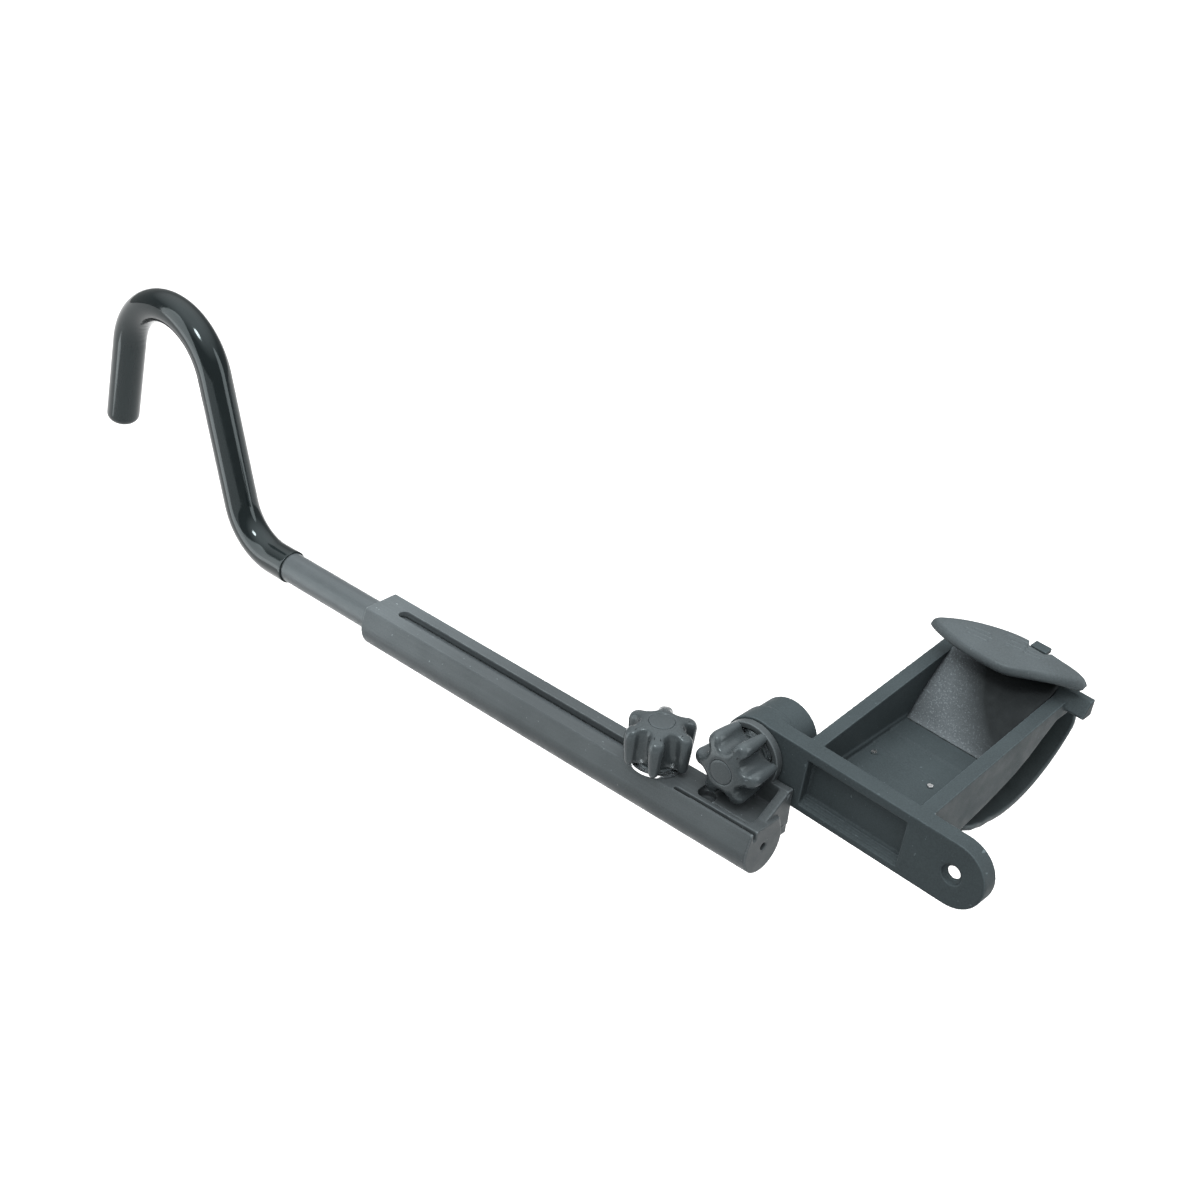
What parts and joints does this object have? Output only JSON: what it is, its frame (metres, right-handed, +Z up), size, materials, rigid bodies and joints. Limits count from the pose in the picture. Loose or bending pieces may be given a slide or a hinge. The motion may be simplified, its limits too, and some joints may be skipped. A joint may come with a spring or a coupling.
{
  "type": "tube cradle with telescoping hook arm",
  "caption": "Strap-on tube cradle with a pivoting slotted arm, two star knobs and a telescoping rod ending in a sleeved hook.",
  "frame": {"origin": "middle of the tube passage in the cradle, between the pad, the floor and the belly of the strap", "axes": "+X runs along the arm from the hook towards the cradle, +Y runs from the knobs to the rear crossbar along the pivot axis, +Z is up, away from the strapped tube"},
  "size_m": [0.5253, 0.1619, 0.1261],
  "materials": {
    "arm_plastic": "fine satin texture, dark slate grey",
    "cradle_plastic": "fine satin texture, dark slate grey",
    "knob_plastic": "satin, near black",
    "rod_paint": "satin powder coat, dark grey",
    "sleeve_black": "smooth gloss black",
    "strap_rubber": "matt, fine grain",
    "pad_rubber": "matt, coarse non-slip grain",
    "bright_steel": "zinc bright",
    "insert_brass": "machined",
    "plug_brass": "machined"
  },
  "bodies": {
    "cradle": {"cradle_frame": "cradle_plastic", "saddle_pad": "pad_rubber", "strap": "strap_rubber", "strap_tab": "strap_rubber", "strap_button": "cradle_plastic", "strap_rivets": "bright_steel", "pivot_nut": "bright_steel"},
    "arm": {"arm_body": "arm_plastic"},
    "rod": {"hook_rod": "rod_paint", "hook_sleeve": "sleeve_black", "rod_plug": "plug_brass"},
    "clamp_grip": {"clamp_knob": "knob_plastic", "clamp_knob_insert": "insert_brass", "clamp_knob_cap": "knob_plastic", "clamp_stud": "bright_steel", "clamp_washer": "bright_steel"},
    "pivot_grip": {"pivot_knob": "knob_plastic", "pivot_knob_insert": "insert_brass", "pivot_knob_cap": "knob_plastic", "pivot_bolt": "bright_steel", "pivot_washer": "bright_steel"}
  },
  "joints": [
    {"name": "arm_pivot", "type": "hinge", "parent": "cradle", "child": "arm", "pos_m": [-0.05063, -0.068, 0.01202], "axis": [0, 1, 0], "continuous": true},
    {"name": "rod_slide", "type": "slide", "parent": "arm", "child": "rod", "axis": [-1, 0, 0], "range_m": [0, 0.15]},
    {"name": "clamp_knob_turn", "type": "hinge", "parent": "rod", "child": "clamp_grip", "pos_m": [-0.08583, -0.088, 0.00102], "axis": [0, 0, 1], "continuous": true},
    {"name": "pivot_knob_turn", "type": "hinge", "parent": "cradle", "child": "pivot_grip", "pos_m": [-0.05063, -0.068, 0.01202], "axis": [0, 1, 0], "continuous": true}
  ]
}
